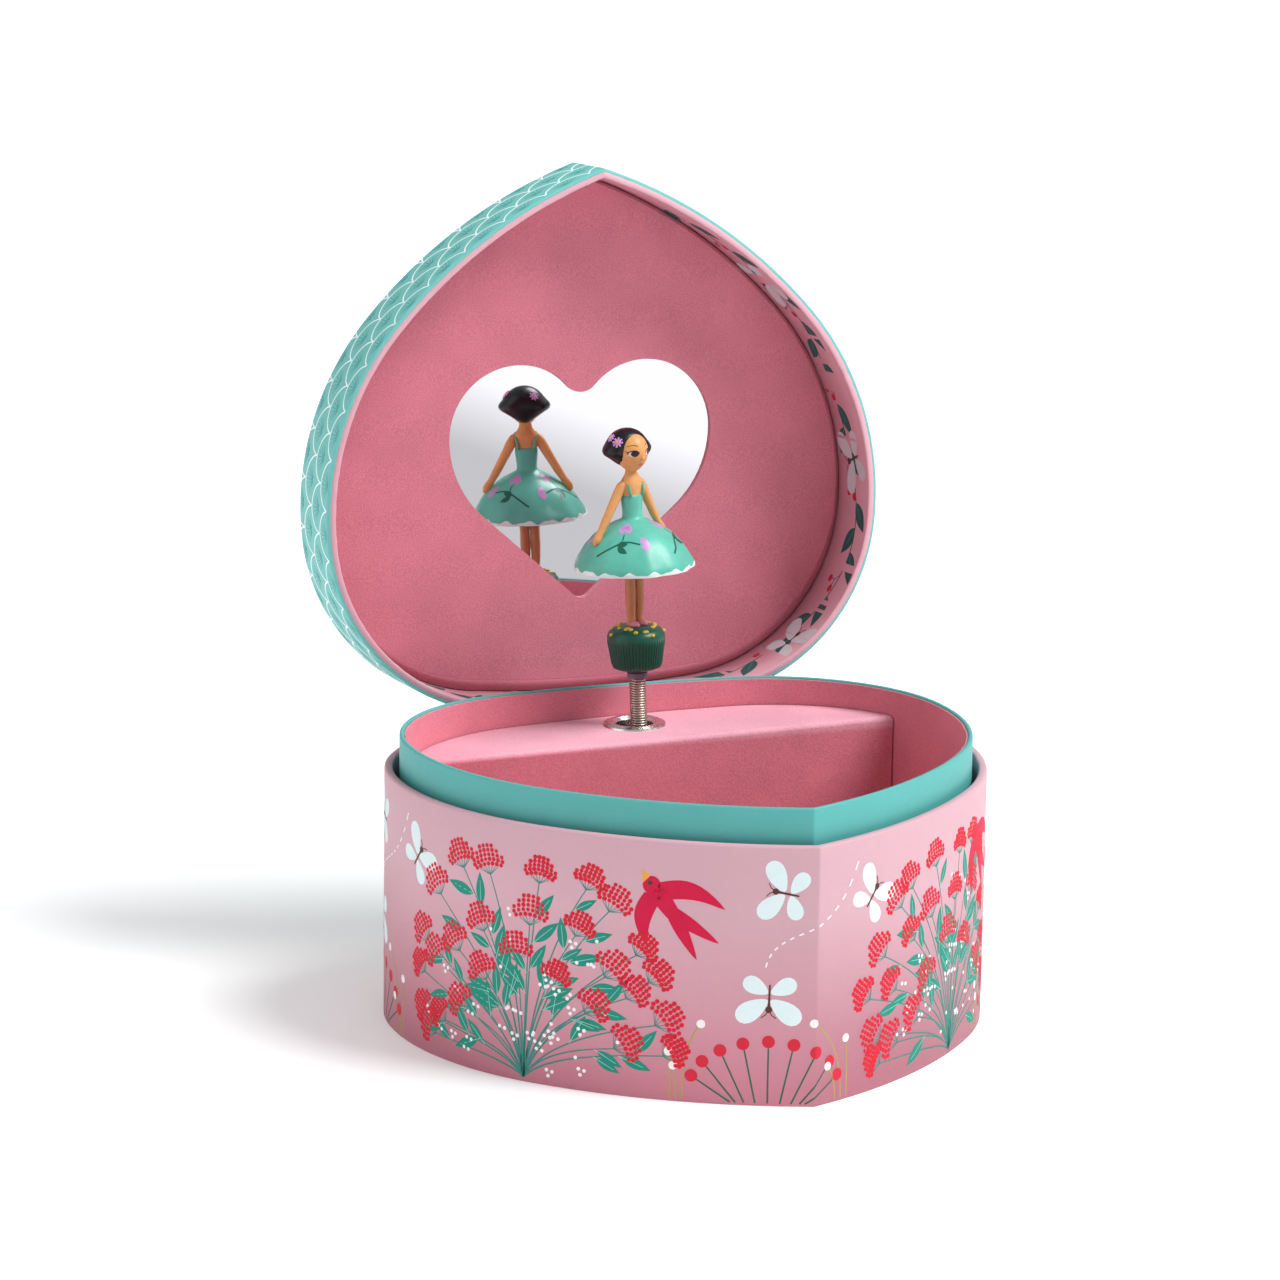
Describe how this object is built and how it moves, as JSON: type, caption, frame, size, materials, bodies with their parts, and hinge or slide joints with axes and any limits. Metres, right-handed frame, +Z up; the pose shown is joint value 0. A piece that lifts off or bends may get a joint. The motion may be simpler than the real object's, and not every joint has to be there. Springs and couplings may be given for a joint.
{
  "type": "wind up music box",
  "caption": "Point-fronted covered box with a hinged lid, mirror, lined tray, wind-up comb movement and a doll that turns on a coil spring.",
  "frame": {"origin": "middle of the underside of the box", "axes": "+Z up, +X to the right seen from the front, the pointed front faces -Y, the hinge and the winding key are at +Y; the lid is drawn open"},
  "size_m": [0.155, 0.1773, 0.2092],
  "materials": {
    "pink_paper": "printed matt paper",
    "teal_paper": "matt paper",
    "lid_paper": "printed matt paper",
    "inner_paper": "printed matt paper",
    "flock": "flocked velour",
    "pale_flock": "flocked velour",
    "grey_board": "raw board",
    "mirror_face": "silvered",
    "foam": "foam sheet",
    "nickel": "bright nickel",
    "spring_steel": "drawn wire",
    "zinc": "die cast",
    "steel": "satin",
    "brass": "turned",
    "white_plastic": "moulded",
    "grey_plastic": "moulded",
    "cloth": "bookbinding cloth",
    "green_paint": "painted resin",
    "skin_paint": "painted resin",
    "dress_paint": "painted resin",
    "hair_paint": "painted resin"
  },
  "bodies": {
    "box": {"outer_wall": "pink_paper", "base_board": "pink_paper", "collar": "teal_paper", "tray_lining": "flock", "tray_floor": "flock", "stage_cover": "pale_flock", "stage_ledge": "grey_board", "eyelet": "nickel", "hinge_strip_outer": "cloth", "hinge_strip_inner": "cloth", "movement_board": "grey_board", "bedplate": "zinc", "governor_frame": "zinc", "clutch_spring": "spring_steel", "movement_screws": "steel", "screw_washers": "steel", "comb": "steel", "comb_screws": "steel"},
    "lid": {"lid_wall": "lid_paper", "lid_top": "lid_paper", "lid_lining": "inner_paper", "lid_panel": "flock", "mirror": "mirror_face", "panel_packing": "foam"},
    "key": {"winding_arbor": "steel", "winding_key": "nickel"},
    "barrel": {"barrel_drum": "zinc", "barrel_cover": "steel", "mainspring": "spring_steel"},
    "cylinder": {"cylinder": "brass", "cylinder_arbor": "steel", "cylinder_pinion": "zinc", "cylinder_gear": "zinc", "spindle_plug": "brass", "coil_spring_seat": "spring_steel"},
    "governor": {"governor_wheel": "white_plastic"},
    "fly": {"governor_worm": "steel", "governor_fan": "white_plastic"},
    "spring_lower": {"coil_spring_lower": "spring_steel"},
    "spring_upper": {"coil_spring_upper": "spring_steel"},
    "doll": {"spring_cap": "grey_plastic", "doll_pedestal": "green_paint", "doll_legs": "skin_paint", "doll_skirt": "dress_paint", "doll_bodice": "skin_paint", "doll_head": "hair_paint"}
  },
  "joints": [
    {"name": "lid_hinge", "type": "hinge", "parent": "box", "child": "lid", "pos_m": [0, 0.0721, 0.0653], "axis": [1, 0, 0], "range_deg": [0, 93.5], "deforming": ["hinge_strip_outer", "hinge_strip_inner"]},
    {"name": "spring_bend_lower", "type": "hinge", "parent": "box", "child": "spring_lower", "pos_m": [0.0017, 0.0549, 0.067], "axis": [1, 0, 0], "range_deg": [0, 28.1], "deforming": ["coil_spring_lower", "coil_spring_seat"]},
    {"name": "spring_bend_upper", "type": "hinge", "parent": "spring_lower", "child": "spring_upper", "pos_m": [0.0013, 0.05509, 0.07699], "axis": [1, 0, 0], "range_deg": [0, 76.6], "deforming": ["coil_spring_upper"]},
    {"name": "doll_spin", "type": "hinge", "parent": "spring_upper", "child": "doll", "pos_m": [0.0013, 0.05509, 0.07699], "axis": [-0.0401, 0.0192, 0.999], "continuous": true},
    {"name": "barrel_spin", "type": "hinge", "parent": "box", "child": "barrel", "pos_m": [0.0017, 0.0599, 0.02028], "axis": [0, 1, 0], "continuous": true},
    {"name": "cylinder_spin", "type": "hinge", "parent": "box", "child": "cylinder", "pos_m": [0.0017, 0.0549, 0.04], "axis": [0, 0, 1], "continuous": true},
    {"name": "governor_spin", "type": "hinge", "parent": "box", "child": "governor", "pos_m": [-0.0064, 0.0549, 0.056], "axis": [0, 0, 1], "continuous": true},
    {"name": "fly_spin", "type": "hinge", "parent": "box", "child": "fly", "pos_m": [-0.01125, 0.0549, 0.056], "axis": [0, 1, 0], "continuous": true},
    {"name": "key_wind", "type": "hinge", "parent": "box", "child": "key", "pos_m": [0.0017, 0.0771, 0.02028], "axis": [0, 1, 0], "continuous": true}
  ],
  "couplings": [
    {"joint": "spring_bend_lower", "follows": "lid_hinge", "ratio": 0.29947},
    {"joint": "spring_bend_upper", "follows": "lid_hinge", "ratio": 0.81818},
    {"joint": "cylinder_spin", "follows": "barrel_spin", "ratio": -4.5},
    {"joint": "doll_spin", "follows": "barrel_spin", "ratio": -4.5},
    {"joint": "governor_spin", "follows": "barrel_spin", "ratio": 13.5},
    {"joint": "fly_spin", "follows": "barrel_spin", "ratio": 270}
  ]
}
